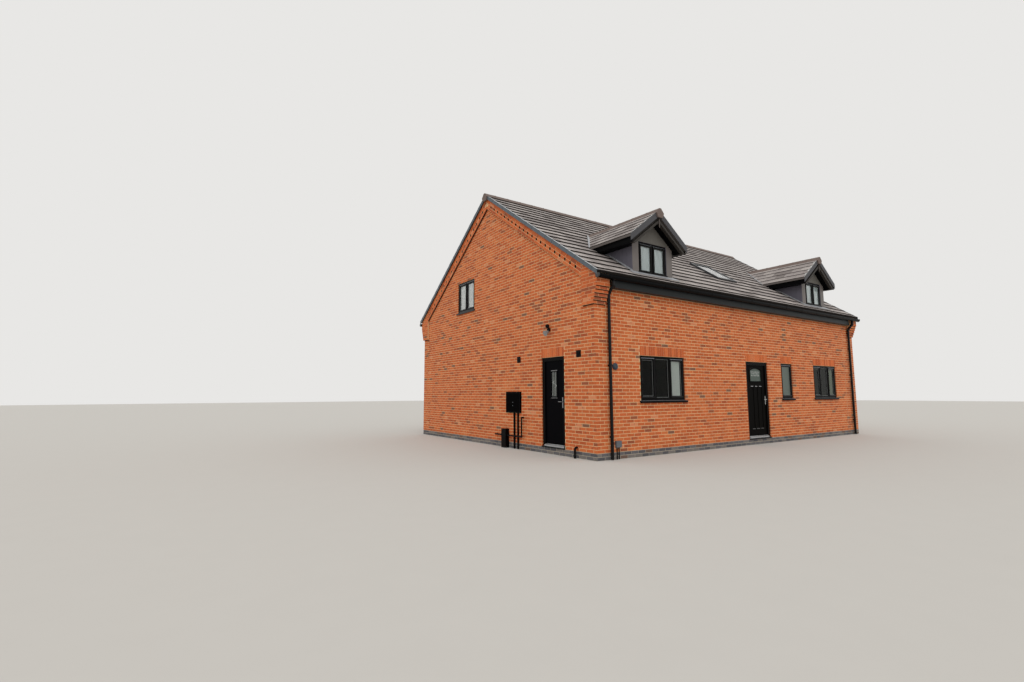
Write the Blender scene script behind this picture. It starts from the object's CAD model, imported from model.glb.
import logging
import math
from collections.abc import Callable, Iterator
from contextlib import contextmanager
from dataclasses import dataclass, field, replace
from enum import Enum

import bmesh
import bpy
import numpy as np
from mathutils import Matrix, Vector


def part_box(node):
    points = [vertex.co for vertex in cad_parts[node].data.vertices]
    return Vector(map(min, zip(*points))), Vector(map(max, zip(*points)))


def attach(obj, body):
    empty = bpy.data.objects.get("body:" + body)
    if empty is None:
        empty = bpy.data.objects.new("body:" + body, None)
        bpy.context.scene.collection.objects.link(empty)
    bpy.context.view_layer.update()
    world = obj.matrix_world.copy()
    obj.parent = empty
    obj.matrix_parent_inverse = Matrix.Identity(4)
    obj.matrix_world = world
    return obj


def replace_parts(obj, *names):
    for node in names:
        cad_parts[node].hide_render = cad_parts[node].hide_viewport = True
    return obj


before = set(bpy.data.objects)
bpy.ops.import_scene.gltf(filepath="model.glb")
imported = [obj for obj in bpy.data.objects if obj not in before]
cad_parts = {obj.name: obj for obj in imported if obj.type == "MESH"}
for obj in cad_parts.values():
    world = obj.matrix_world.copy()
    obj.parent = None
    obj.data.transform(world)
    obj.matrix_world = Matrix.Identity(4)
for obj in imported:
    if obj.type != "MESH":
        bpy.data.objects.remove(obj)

logging.basicConfig(level=logging.INFO, format="%(message)s")
LOG = logging.getLogger("house")

Flat = tuple[float, float]
Point = tuple[float, float, float]
Colour = tuple[float, float, float]
Face = tuple[int, ...]
Mesh = bpy.types.Mesh
Object = bpy.types.Object
Node = bpy.types.Node
Socket = bpy.types.NodeSocket


def srgb(red: int, green: int, blue: int) -> Colour:
    """Turns a colour in screen values from 0 to 255 into linear light from 0 to 1."""
    return tuple(((c / 255 + 0.055) / 1.055) ** 2.4 if c > 10 else c / 255 / 12.92
                 for c in (red, green, blue))


class Body(str, Enum):
    """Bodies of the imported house."""

    HOUSE = "house"
    FRONT_DOOR = "front_door"
    SIDE_DOOR = "side_door"


@dataclass(frozen=True)
class Plan:
    """Sizes of the house in metres, from the front left corner of its walls at ground level."""

    length: float = 12.14
    depth: float = 8.765
    mid_y: float = depth / 2
    outer_leaf: float = 0.102
    plinth: float = 0.15
    course: float = 0.075
    brick: float = 0.225
    joint: float = 0.012
    pitch: float = math.radians(35)
    cos: float = math.cos(pitch)
    sin: float = math.sin(pitch)
    tan: float = math.tan(pitch)
    eaves_z: float = 4.131
    soffit_z: float = 3.68
    eaves_over: float = 0.2
    verge_over: float = 0.09
    verge_t: float = 0.012
    gauge: float = 0.3275
    first_lap: float = 0.164
    tile_w: float = 0.3
    tile_gap: float = 0.003
    least_tile: float = 0.02
    head_z: float = 2.25
    sill_z: float = 1.2
    gable_win_z: float = 3.9
    gable_win_h: float = 0.975
    gable_win_w: float = 1.055
    gable_win_y: float = 0.6505 * depth
    wide_x: float = 0.177 * length
    wide_w: float = 1.567
    narrow_x: float = 0.6325 * length
    narrow_w: float = 0.622
    corner_x: float = 0.825 * length
    corner_w: float = 1.482
    door_x: float = 0.5025 * length
    front_door_w: float = 1.075
    side_door_y: float = 0.165 * depth
    side_door_w: float = 0.847
    frame_w: float = 0.062
    mullion_w: float = 0.074
    sill_h: float = 0.035

    def roof_z(self, y: float) -> float:
        """Height of the tile line at a distance from the front wall."""
        return self.eaves_z + self.tan * min(y, self.depth - y)

    def valley_y(self, z: float) -> float:
        """Distance from the front wall at which the front tile line has a height."""
        return (z - self.eaves_z) / self.tan

    def on_slope(self, x: float, s: float, up: float = 0.0) -> Point:
        """Point at a distance up the front slope from the eaves, and out from its tile line."""
        return (x, -self.eaves_over + s * self.cos - up * self.sin,
                self.eaves_z - self.eaves_over * self.tan + s * self.sin + up * self.cos)

    def mirrored(self, x: float, y: float, z: float, right: bool, back: bool) -> Point:
        """Point of the near left quarter, mirrored to the right gable and to the back where asked."""
        return (self.length - x if right else x, self.depth - y if back else y, z)

    def place(self, x: float, y: float, z: float) -> Vector:
        """Point of the row frame for a place measured from the front left corner."""
        return Vector((x - self.length / 2, y - self.depth / 2, z))


PLAN = Plan()
ORIGIN = PLAN.place(0, 0, 0)
HOME = Matrix.Translation(ORIGIN)
QUARTERS = ((False, False), (False, True), (True, False), (True, True))
CORNERS = ((-1, -1), (1, -1), (1, 1), (-1, 1))


# Node trees


def feed(tree: bpy.types.NodeTree, socket: Socket, value: object) -> None:
    """Feeds an input of a node.

    Args:
        tree: The node's tree.
        socket: The input.
        value: A socket to link, or a plain value; a colour without alpha gets one.
    """
    if isinstance(value, Socket):
        tree.links.new(value, socket)
    else:
        socket.default_value = (*value, 1.0) if socket.type == "RGBA" and len(value) == 3 else value


def add_node(tree: bpy.types.NodeTree, kind: str, inputs: dict | None = None, **settings: object) -> Node:
    """Adds a node to a tree.

    Args:
        tree: The tree.
        kind: Blender's name of the node type.
        inputs: Values or sockets for its inputs, by name or number.
        **settings: Properties of the node.

    Returns:
        The new node.
    """
    made = tree.nodes.new(kind)
    for key, value in settings.items():
        setattr(made, key, value)
    for key, value in (inputs or {}).items():
        named = [s for s in made.inputs if s.enabled and s.name == key]
        feed(tree, named[0] if named else made.inputs[key], value)
    return made


class Graph:
    """Short way to write a material's nodes."""

    def __init__(self, name: str) -> None:
        """Starts a material with its shader and output.

        Args:
            name: Name of the material.
        """
        self.material = bpy.data.materials.new(name + "_finish")
        self.material.use_nodes = True
        self.tree = self.material.node_tree

    def node(self, kind: str, inputs: dict | None = None, **settings: object) -> Node:
        """Adds a node with its inputs and settings."""
        return add_node(self.tree, kind, inputs, **settings)

    def math(self, operation: str, first: object, second: object = 0.0, third: object = 0.0) -> Socket:
        """Adds a math node and gives its result."""
        return self.node("ShaderNodeMath", {0: first, 1: second, 2: third}, operation=operation).outputs[0]

    def place(self) -> Socket:
        """Gives the object coordinates."""
        return self.node("ShaderNodeTexCoord").outputs["Object"]

    def normal(self) -> bpy.types.NodeOutputs:
        """Gives the three parts of the normal."""
        normal = self.node("ShaderNodeTexCoord").outputs["Normal"]
        return self.node("ShaderNodeSeparateXYZ", {0: normal}).outputs

    def stored(self, name: str) -> Socket:
        """Gives a number stored on the mesh."""
        return self.node("ShaderNodeAttribute", attribute_name=name).outputs["Fac"]

    def stretched(self, scale: Point) -> Socket:
        """Gives the object coordinates multiplied by a scale for each axis."""
        return self.node("ShaderNodeMapping", {"Vector": self.place(), "Scale": scale}).outputs[0]

    def noise(self, vector: Socket, scale: float, detail: float = 3.0) -> Socket:
        """Adds noise and gives its factor."""
        inputs = {"Vector": vector, "Scale": scale, "Detail": detail}
        return self.node("ShaderNodeTexNoise", inputs).outputs[0]

    def steps(self, factor: Socket, stops: tuple[tuple[float, Colour], ...]) -> Socket:
        """Adds a colour ramp that changes in steps.

        Args:
            factor: Where on the ramp to read.
            stops: Places and colours of the steps, in order.

        Returns:
            The colour read.
        """
        made = self.node("ShaderNodeValToRGB", {0: factor})
        made.color_ramp.interpolation = "CONSTANT"
        for _ in stops[2:]:
            made.color_ramp.elements.new(0.5)
        for element, (at, colour) in zip(made.color_ramp.elements, stops):
            element.position = at
            element.color = (*colour, 1.0)
        return made.outputs[0]

    def mix(self, factor: object, first: object, second: object, blend: str = "MIX") -> Socket:
        """Mixes two colours and gives the result."""
        inputs = {0: factor, 6: first, 7: second}
        return self.node("ShaderNodeMix", inputs, data_type="RGBA", blend_type=blend).outputs[2]

    def span(self, value: object, low: float, high: float, start: float = 0.0, end: float = 1.0) -> Socket:
        """Maps a factor from a range, which is 0 to 1 unless given, to another range."""
        return self.node("ShaderNodeMapRange", {0: value, 1: start, 2: end, 3: low, 4: high}).outputs[0]

    def tint(self, colour: object, amount: float, factor: Socket) -> Socket:
        """Darkens and lightens a colour.

        Args:
            colour: The colour, as a socket or a value.
            amount: By how much at most.
            factor: From 0, where it is darkest, to 1.

        Returns:
            The changed colour.
        """
        level = self.span(factor, 1 - amount, 1 + amount)
        grey = self.node("ShaderNodeCombineColor", {0: level, 1: level, 2: level}).outputs[0]
        return self.mix(1.0, colour, grey, "MULTIPLY")

    def finish(self, colour: object, roughness: object, height: Socket | None = None,
               distance: float = 0.001, **values: object) -> bpy.types.Material:
        """Sets the shader and gives the material.

        Args:
            colour: Base colour, as a socket or a colour.
            roughness: Roughness, as a socket or a number.
            height: Socket with the height for the bump, if any.
            distance: Full height of the bump in metres.
            **values: Other inputs of the shader, with _ for spaces.

        Returns:
            The finished material.
        """
        inputs = {"Base Color": colour, "Roughness": roughness}
        inputs |= {key.replace("_", " "): value for key, value in values.items()}
        if height is not None:
            bump = self.node("ShaderNodeBump", {"Height": height, "Distance": distance, "Strength": 1.0})
            inputs["Normal"] = bump.outputs[0]
        for key, value in inputs.items():
            feed(self.tree, self.tree.nodes["Principled BSDF"].inputs[key], value)
        return self.material


# Finishes

BUILT: dict[str, bpy.types.Material] = {}


@dataclass(frozen=True)
class Finish:
    """A surface finish; each kind builds its own material."""

    name: str

    def build(self) -> bpy.types.Material:
        """Builds the material."""
        raise NotImplementedError

    def material(self) -> bpy.types.Material:
        """Gives the material, and builds it the first time.

        Returns:
            The material.
        """
        if self.name not in BUILT:
            BUILT[self.name] = self.build()
        return BUILT[self.name]


@dataclass(frozen=True)
class Units(Finish):
    """Bricks or tiles laid one by one, with a tone stored on each."""

    tones: tuple[tuple[float, Colour], ...]
    grain: float = 60.0
    mottle: float = 0.16
    rough: Flat = (0.75, 0.95)
    relief: float = 0.0012
    specular: float = 0.2
    edge: Colour | None = None
    fleck: Colour | None = None
    fade: float = 0.0
    fleck_size: float = 13.0
    fleck_span: tuple[float, float, float, float] = (0.0, 0.75, 0.6, 0.72)
    edge_span: tuple[float, float, float, float] = (0.0, 1.0, 0.15, 0.5)

    def build(self) -> bpy.types.Material:
        """Builds the material from the stored tone, two sizes of noise, flecks, wear and its edges' colour.

        Returns:
            The material.
        """
        g = Graph(self.name)
        colour = g.steps(g.stored("tone"), self.tones)
        fine = g.noise(g.place(), self.grain, 4.0)
        broad = g.noise(g.place(), self.grain / 7, 2.0)
        colour = g.tint(g.tint(colour, self.mottle, fine), self.mottle, broad)
        if self.fleck is not None:
            flecks = g.span(g.noise(g.place(), self.fleck_size), *self.fleck_span)
            colour = g.mix(flecks, colour, self.fleck)
        if self.fade:
            colour = g.tint(colour, self.fade, g.stored("tail"))
        if self.edge is not None:
            colour = g.mix(g.span(g.normal()[2], *self.edge_span), self.edge, colour)
        return g.finish(colour, g.span(fine, *self.rough), fine, self.relief,
                        Specular_IOR_Level=self.specular)


@dataclass(frozen=True)
class Brickwork(Finish):
    """Mortar bed behind the laid bricks, courses on the reveals, and plaster behind the outer leaf."""

    light: Colour
    dark: Colour
    mortar: Colour
    plaster: Colour
    under: Colour
    skin: float = 0.001

    def build(self) -> bpy.types.Material:
        """Builds the material in the wall's own plane, in step with the laid bricks.

        Returns:
            The material.
        """
        g, p = Graph(self.name), PLAN
        place, facing = g.node("ShaderNodeSeparateXYZ", {0: g.place()}).outputs, g.normal()
        sideways = g.math("GREATER_THAN", g.math("ABSOLUTE", facing[0]), 0.5)
        along_x = g.math("ADD", place[0], (p.length + p.joint + p.brick) / 2)
        along_y = g.math("ADD", place[1], (p.depth + p.joint) / 2)
        u = g.node("ShaderNodeMix", {0: sideways, 2: along_x, 3: along_y}, data_type="FLOAT").outputs[0]
        bricks = g.node("ShaderNodeTexBrick", {
            "Vector": g.node("ShaderNodeCombineXYZ", {0: u, 1: place[2]}).outputs[0], "Color1": self.light,
            "Color2": self.dark, "Mortar": self.mortar, "Scale": 1.0, "Mortar Size": p.joint / 2,
            "Mortar Smooth": 0.3, "Bias": -0.2, "Brick Width": p.brick, "Row Height": p.course}).outputs
        depths = [g.math("SUBTRACT", g.math("ABSOLUTE", place[axis]), size / 2 - p.outer_leaf)
                  for axis, size in enumerate((p.length, p.depth))]
        outer = g.math("MAXIMUM", *depths)
        outside = g.math("GREATER_THAN", outer, -self.skin)
        bed = g.math("GREATER_THAN", outer, p.outer_leaf - self.skin)
        below = g.math("LESS_THAN", facing[2], -0.5)
        fine, broad = g.noise(g.place(), 90.0, 5.0), g.noise(g.place(), 5.0, 3.0)
        colour = g.mix(below, g.mix(bed, bricks[0], self.mortar), self.under)
        colour = g.mix(outside, self.plaster, g.tint(g.tint(colour, 0.14, fine), 0.06, broad))
        relief = g.math("MULTIPLY_ADD", bricks[1], -1.0, g.math("MULTIPLY", fine, 0.5))
        return g.finish(colour, g.span(fine, 0.8, 0.98), g.math("MULTIPLY", relief, outside), 0.003,
                        Specular_IOR_Level=0.2)


@dataclass(frozen=True)
class Sheet(Finish):
    """Smooth or slightly textured sheet, moulding or board."""

    colour: Colour
    rough: Flat = (0.35, 0.5)
    grain: float | Point = 30.0
    mottle: float = 0.1
    relief: float = 0.0002
    metallic: float = 0.0
    specular: float = 0.4
    top: Colour | None = None

    def build(self) -> bpy.types.Material:
        """Builds the material from stretched fine noise, broad weathering and dust on its upper faces.

        Returns:
            The material.
        """
        g = Graph(self.name)
        grain = self.grain if isinstance(self.grain, tuple) else (self.grain,) * 3
        fine = g.noise(g.stretched(grain), 1.0, 4.0)
        broad = g.noise(g.place(), 1.3, 2.0)
        colour = self.colour
        if self.top is not None:
            colour = g.mix(g.span(g.normal()[2], 0.0, 1.0, 0.5, 0.7), colour, self.top)
        colour = g.tint(g.tint(colour, self.mottle, fine), self.mottle, broad)
        rough = g.span(g.math("MULTIPLY_ADD", broad, 0.5, g.math("MULTIPLY", fine, 0.5)), *self.rough)
        return g.finish(colour, rough, fine, self.relief, Metallic=self.metallic,
                        Specular_IOR_Level=self.specular)


@dataclass(frozen=True)
class Pane(Finish):
    """Window glass, clear or patterned."""

    tint: Colour
    rough: float = 0.0
    pattern: float = 0.0
    ior: float = 1.5
    clear: float = 1.0

    def build(self) -> bpy.types.Material:
        """Builds the material, with a rolled pattern where the glass is obscured.

        Returns:
            The material.
        """
        g = Graph(self.name)
        soft = g.noise(g.place(), 0.8, 1.0)
        height = soft
        if self.pattern:
            height = g.node("ShaderNodeTexVoronoi", {"Vector": g.place(), "Scale": 160.0}).outputs[0]
        return g.finish(g.tint(self.tint, 0.03, soft), self.rough, height, self.pattern or 0.0001,
                        Transmission_Weight=self.clear, IOR=self.ior, Specular_IOR_Level=0.5)


BRICK_TONES = (
    (0.0, srgb(200, 104, 58)), (0.24, srgb(192, 98, 54)), (0.44, srgb(198, 101, 56)),
    (0.62, srgb(184, 91, 51)), (0.74, srgb(206, 114, 66)), (0.85, srgb(170, 83, 50)),
    (0.925, srgb(152, 83, 56)), (0.965, srgb(128, 88, 70)), (0.978, srgb(208, 132, 92)))
SOLDIER_TONES = (
    (0.0, srgb(206, 110, 62)), (0.35, srgb(194, 99, 55)), (0.65, srgb(180, 88, 50)),
    (0.85, srgb(204, 118, 74)))
BLUE_TONES = (
    (0.0, srgb(100, 98, 100)), (0.4, srgb(84, 83, 87)), (0.7, srgb(118, 112, 108)),
    (0.88, srgb(106, 86, 76)))
TILE_TONES = (
    (0.0, srgb(158, 150, 146)), (0.30, srgb(147, 139, 136)), (0.58, srgb(166, 158, 154)),
    (0.80, srgb(136, 128, 125)), (0.93, srgb(122, 114, 111)))
BRICK = Brickwork("brick", srgb(190, 98, 56), srgb(152, 74, 45), srgb(226, 196, 150), srgb(170, 168, 162),
                  srgb(84, 44, 28))
VERGE_BRICK = replace(BRICK, name="verge_brick", mortar=srgb(218, 172, 128))
BLUE_BRICK = Brickwork("blue_brick", srgb(96, 98, 106), srgb(76, 78, 86), srgb(176, 166, 150),
                       srgb(150, 148, 144), srgb(60, 62, 70))
BRICK_UNIT = Units("brick_unit", BRICK_TONES, fleck=srgb(120, 74, 62))
SOLDIER_UNIT = Units("soldier_unit", SOLDIER_TONES, mottle=0.1, fleck=srgb(150, 84, 60))
BLUE_UNIT = Units("blue_brick_unit", BLUE_TONES, rough=(0.45, 0.7), relief=0.0006)
TILE_UNIT = Units("roof_tile_unit", TILE_TONES, 45.0, 0.08, (0.6, 0.85), 0.0008, 0.15, srgb(40, 35, 32),
                  fade=0.14)
TILE = Sheet("roof_tile", srgb(100, 94, 91), (0.7, 0.9), 40, relief=0.0008, specular=0.15)
RIDGE = Sheet("ridge_tile", srgb(112, 98, 92), (0.6, 0.85), 45, 0.12, 0.0008, specular=0.2)
VERGE = Sheet("verge_plastic", srgb(88, 97, 104), grain=14, mottle=0.05, specular=0.2,
              top=srgb(178, 180, 182))
FASCIA = Sheet("eaves_plastic", srgb(40, 43, 44), (0.3, 0.45), (3, 60, 60), 0.06, 0.0003, specular=0.08)
GUTTER = Sheet("gutter_plastic", srgb(7, 7, 8), (0.18, 0.3), 8, relief=0.0001, specular=0.05)
PIPE = Sheet("pipe_plastic", srgb(8, 8, 9), (0.14, 0.24), 8, relief=0.0001, specular=0.22)
FRAME = Sheet("black_frame", srgb(9, 8, 8), (0.28, 0.42), (50, 50, 6), 0.12, 0.00015, specular=0.05,
              top=srgb(92, 94, 98))
GLOSS = Sheet("gloss_frame", srgb(10, 10, 11), (0.2, 0.3), (50, 50, 6), 0.12, 0.0001, specular=0.3,
              top=srgb(150, 154, 162))
BEVEL = Sheet("sash_bevel", srgb(10, 10, 11), (0.2, 0.32), (50, 50, 6), 0.12, 0.0001, specular=0.12,
              top=srgb(150, 155, 163))
DOOR = Sheet("door_skin", srgb(6, 5, 4), (0.3, 0.5), (90, 90, 5), 0.2, 0.0004, specular=0.02,
             top=srgb(84, 82, 80))
SIDE_DOOR = replace(DOOR, name="side_door_skin", colour=srgb(4, 4, 7), top=srgb(60, 60, 66))
GLINT = Sheet("door_ledge", srgb(150, 150, 150), (0.3, 0.45), 50, relief=0.0001, specular=0.3)
BEAD = replace(GLINT, name="door_bead", colour=srgb(62, 61, 60), specular=0.2)
POST = Sheet("dormer_trim", srgb(112, 106, 103), (0.35, 0.55), (60, 60, 5), 0.12, 0.0003, specular=0.2)
PLATE = Sheet("dormer_verge", srgb(76, 76, 79), (0.4, 0.6), 20, relief=0.0003, specular=0.15,
              top=srgb(176, 176, 174))
BARGE = Sheet("dormer_barge", srgb(54, 50, 46), (0.4, 0.6), 60, 0.12, 0.0003, specular=0.15)
FINIAL = Sheet("dormer_finial", srgb(98, 90, 85), (0.4, 0.6), 40, relief=0.0003, specular=0.2)
INFILL = Sheet("dormer_infill", srgb(102, 99, 94), (0.4, 0.6), (55, 55, 4), 0.14, 0.0004, specular=0.15)
CHEEK = replace(INFILL, name="dormer_cheek", colour=srgb(96, 94, 104), grain=(40, 40, 4))
SOFFIT = Sheet("dormer_soffit", srgb(7, 7, 8), (0.3, 0.5), specular=0.04)
LEAD = Sheet("lead", srgb(156, 158, 162), (0.4, 0.6), 9, 0.12, 0.0012, metallic=0.2, specular=0.3)
TIMBER = Sheet("timber", srgb(196, 158, 112), (0.6, 0.8), (3, 40, 40), 0.16, 0.0005)
CONCRETE = Sheet("concrete", srgb(170, 167, 161), (0.8, 0.95), relief=0.001)
METAL = Sheet("rooflight_metal", srgb(70, 71, 74), (0.3, 0.45), 20, 0.06, 0.0001, metallic=0.6)
ALUMINIUM = Sheet("threshold_metal", srgb(196, 198, 200), (0.28, 0.42), (4, 200, 200), 0.08, 0.0001,
                  metallic=1.0)
STEEL = Sheet("handle_metal", srgb(208, 208, 206), (0.2, 0.32), 120, 0.05, 0.00005, metallic=1.0)
SIDE_STEEL = replace(STEEL, name="side_handle_metal", colour=srgb(150, 150, 152), rough=(0.25, 0.4))
SILVER = Sheet("spacer", srgb(138, 142, 140), grain=50, mottle=0.05, relief=0.0001)
METER = Sheet("meter_plastic", srgb(3, 2, 3), (0.4, 0.55), specular=0.01)
SEAM = replace(METER, name="meter_seam", colour=srgb(28, 27, 30), specular=0.1)
FITTING = Sheet("fitting_plastic", srgb(14, 14, 16), mottle=0.08, specular=0.06)
LAMP = Sheet("lamp_silver", srgb(136, 138, 138), (0.3, 0.45), mottle=0.06, relief=0.0001)
SOUNDER = Sheet("sounder_plastic", srgb(58, 66, 76), (0.3, 0.45), mottle=0.08, specular=0.2)
CABLE_BOX = Sheet("cable_box", srgb(98, 103, 108), (0.4, 0.55), mottle=0.08, specular=0.2)
BLIND = Sheet("blind", srgb(246, 246, 243), (0.8, 0.95), (90, 90, 2), 0.04, 0.0003)
SCREEN = replace(BLIND, name="dormer_blind", colour=srgb(208, 217, 217))
CURTAIN = Sheet("curtain", srgb(196, 204, 194), (0.8, 0.95), (40, 40, 2), 0.14, 0.004)
STUD = Sheet("glass_stud", srgb(250, 253, 251), (0.15, 0.3), 50, 0.05, 0.0001, specular=0.6)
LEADING = Sheet("glass_leading", srgb(206, 212, 208), (0.2, 0.35), 50, 0.05, 0.0001)
END_CAP = Sheet("gutter_cap", srgb(12, 12, 13), (0.12, 0.2), 20, relief=0.0001, specular=0.8,
                top=srgb(120, 124, 128))
SHADE = Sheet("deep_joint", srgb(46, 24, 17), (0.8, 0.95), 60, 0.2, 0.0006, specular=0.1)
SEALANT = Sheet("sealant", srgb(186, 150, 118), (0.6, 0.8), 50, 0.08, 0.0004)
GLASS = Pane("glass", (0.16, 0.19, 0.13), ior=1.15)
CLEAR = Pane("clear_glass", (0.94, 0.97, 0.97))
SOFT = Pane("soft_glass", (0.42, 0.45, 0.36), ior=1.25)
OBSCURE = Pane("obscure_glass", (0.12, 0.155, 0.13), 0.3, 0.0006, 1.4, 0.3)
SLOT_GLASS = replace(OBSCURE, name="slot_glass", tint=(0.03, 0.035, 0.028))
DOOR_GLASS = replace(OBSCURE, name="door_glass", tint=(0.07, 0.105, 0.085))

NODE_FINISH = {
    "plinth": BLUE_BRICK, "ground_floor": CONCRETE, "first_floor": TIMBER, "roof_deck_front": TIMBER,
    "roof_deck_back": TIMBER, "roof_tiles_front": TILE, "roof_tiles_back": TILE, "ridge_tiles": RIDGE,
    "dry_verges": VERGE, "eaves_boards": FASCIA, "gutters": GUTTER, "downpipes": PIPE,
    "rooflight_frame": METAL, "ground_window_frames": FRAME, "gable_window_frames": GLOSS,
    "window_glass": GLASS, "door_frames": FRAME, "thresholds": ALUMINIUM, "front_door_leaf": DOOR,
    "front_door_glass": DOOR_GLASS, "front_door_handles": STEEL, "side_door_leaf": SIDE_DOOR,
    "side_door_glass": SLOT_GLASS, "side_door_handles": SIDE_STEEL, "meter_box": METER,
    "service_pipes": GUTTER, "wall_fittings": FITTING, "verge_brickwork_left": VERGE_BRICK,
    "verge_brickwork_right": VERGE_BRICK}
DORMER_FINISH = {"_walls": POST, "_roof": TILE, "_trim": BARGE, "_eaves": SOFFIT, "_window": FRAME}


# Meshes


@dataclass
class Shape:
    """Points and faces of a mesh that is being put together, from the front left corner of the walls."""

    points: list[Point] = field(default_factory=list)
    faces: list[Face] = field(default_factory=list)
    marks: dict[str, list[float]] = field(default_factory=dict)

    def add(self, points: list[Point], faces: list[Face], **marks: list[float]) -> "Shape":
        """Adds points and the faces between them.

        Args:
            points: The points.
            faces: Numbers of the points of each face.
            **marks: A value at each point for every named mark.

        Returns:
            The shape itself.
        """
        start = len(self.points)
        for name, values in marks.items():
            self.marks.setdefault(name, [0.0] * start).extend(values)
        self.points += [tuple(p) for p in points]
        self.faces += [tuple(start + i for i in f) for f in faces]
        return self

    def loft(self, rings: list[list[Point]], flip: bool = False, folded: bool = False,
             **marks: list[float]) -> "Shape":
        """Adds a closed solid through rings of equally many points.

        Args:
            rings: The rings; the first runs anticlockwise as seen from outside.
            flip: Whether the first ring runs clockwise instead.
            folded: Whether the ends are bands between the two halves of a ring, for an outline with bends.
            **marks: A value at each point for every named mark.

        Returns:
            The shape itself.
        """
        n = len(rings[0])
        last = n * (len(rings) - 1)
        if folded:
            caps = [(i, i + 1, n - 2 - i, n - 1 - i) for i in range(n // 2 - 1)]
        else:
            caps = [tuple(range(n))]
        faces = caps + [tuple(last + i for i in cap[::-1]) for cap in caps]
        faces += [(r + (i + 1) % n, r + i, r + n + i, r + n + (i + 1) % n)
                  for r in range(0, last, n) for i in range(n)]
        points = [point for ring in rings for point in ring]
        return self.add(points, [f[::-1] for f in faces] if flip else faces, **marks)

    def prism(self, outline: list[Flat], y0: float, y1: float, folded: bool = False) -> "Shape":
        """Adds a solid with an (x, z) outline, anticlockwise from the front, that runs along y."""
        return self.loft([[(x, y, z) for x, z in outline] for y in (y0, y1)], folded=folded)

    def box(self, low: Point, high: Point) -> "Shape":
        """Adds a box between two corners."""
        (a, b, c), (d, e, f) = low, high
        return self.prism([(a, c), (d, c), (d, f), (a, f)], b, e)

    def bars(self, low: Point, high: Point, sides: Flat, ends: Flat, upright: bool = True) -> "Shape":
        """Adds the four bars of a frame that faces along y.

        Args:
            low: Lowest corner.
            high: Highest corner.
            sides: Widths of the left and the right bar.
            ends: Widths of the lower and the upper bar.
            upright: Whether the left and the right bar take the corners, or the other two.

        Returns:
            The shape itself.
        """
        (x0, y0, z0), (x1, y1, z1) = low, high
        left, right, foot, top = x0 + sides[0], x1 - sides[1], z0 + ends[0], z1 - ends[1]
        a, b, c, d = (left, right, z0, z1) if upright else (x0, x1, foot, top)
        for start, end, under, over in ((x0, left, c, d), (right, x1, c, d), (a, b, z0, foot),
                                        (a, b, top, z1)):
            self.box((start, y0, under), (end, y1, over))
        return self

    def sheet(self, corners: list[Vector], flip: bool = False, thickness: float = 0.002) -> "Shape":
        """Adds a thin flat plate.

        Args:
            corners: Four or more corners, anticlockwise from outside.
            flip: Whether they run clockwise instead.
            thickness: How far it is thickened outwards.

        Returns:
            The shape itself.
        """
        ring = corners[::-1] if flip else corners
        out = (ring[1] - ring[0]).cross(ring[2] - ring[0]).normalized() * thickness
        return self.loft([ring, [corner + out for corner in ring]], True)

    def mesh(self, name: str, move: Matrix | None = None) -> Mesh:
        """Makes the Blender mesh.

        Args:
            name: Its name.
            move: Matrix that moves it, if any.

        Returns:
            The mesh.
        """
        made = bpy.data.meshes.new(name)
        made.from_pydata(self.points, [], self.faces)
        for mark, values in self.marks.items():
            made.attributes.new(mark, "FLOAT", "POINT").data.foreach_set("value", values)
        if move is not None:
            made.transform(move)
        made.validate()
        return made

    def piece(self, name: str, finish: Finish, slot: str, body: Body = Body.HOUSE,
              move: Matrix = HOME) -> Object:
        """Makes a piece of the shape, moved by a matrix; the other arguments are those of `finished`."""
        return finished(self.mesh(name, move), name, finish, body)


CUBE = Shape().box((-0.5, -0.5, -0.5), (0.5, 0.5, 0.5))


@dataclass
class Layer:
    """Places, turns and sizes of many like units."""

    places: list[Point] = field(default_factory=list)
    turns: list[Point] = field(default_factory=list)
    sizes: list[Point] = field(default_factory=list)

    def put(self, place: Point, turn: Point = (0.0, 0.0, 0.0), size: Point = (1.0, 1.0, 1.0)) -> None:
        """Adds one unit.

        Args:
            place: Where, from the front left corner.
            turn: Angles about the three axes.
            size: Scales along the unit's own axes.
        """
        self.places.append(tuple(PLAN.place(*place)))
        self.turns.append(turn)
        self.sizes.append(size)


def linked(name: str, data: bpy.types.ID) -> Object:
    """Adds an object to the scene.

    Args:
        name: Its name.
        data: Its mesh, camera or lamp.

    Returns:
        The object.
    """
    made = bpy.data.objects.new(name, data)
    bpy.context.scene.collection.objects.link(made)
    return made


def finished(mesh: Mesh, name: str, finish: Finish, body: Body = Body.HOUSE) -> Object:
    """Links a mesh as a piece, dresses it and lets it ride.

    Args:
        mesh: The mesh, in the row frame.
        name: Name of the piece.
        finish: Its finish.
        body: The body that it moves with.

    Returns:
        The object.
    """
    made = linked(name, mesh)
    mesh.materials.clear()
    mesh.materials.append(finish.material())
    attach(made, body.value)
    LOG.info("%s: %d faces on %s", name, len(mesh.polygons), body.value)
    return made


def dress_faces(mesh: Mesh, finishes: tuple[Finish, ...], rule: Callable[[Vector], int]) -> None:
    """Adds finishes to a mesh and shares its faces among them.

    Args:
        mesh: The mesh, in the row frame.
        finishes: The further finishes, numbered from 1.
        rule: Gives the number of a face's finish from its middle, measured from the front left corner.
    """
    for finish in finishes:
        mesh.materials.append(finish.material())
    for face in mesh.polygons:
        face.material_index = rule(face.center - ORIGIN)


@contextmanager
def edited(mesh: Mesh) -> Iterator[bmesh.types.BMesh]:
    """Opens a mesh for changes and writes it back.

    Args:
        mesh: The mesh.

    Yields:
        The open mesh.
    """
    work = bmesh.new()
    work.from_mesh(mesh)
    yield work
    work.to_mesh(mesh)
    work.free()


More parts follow.
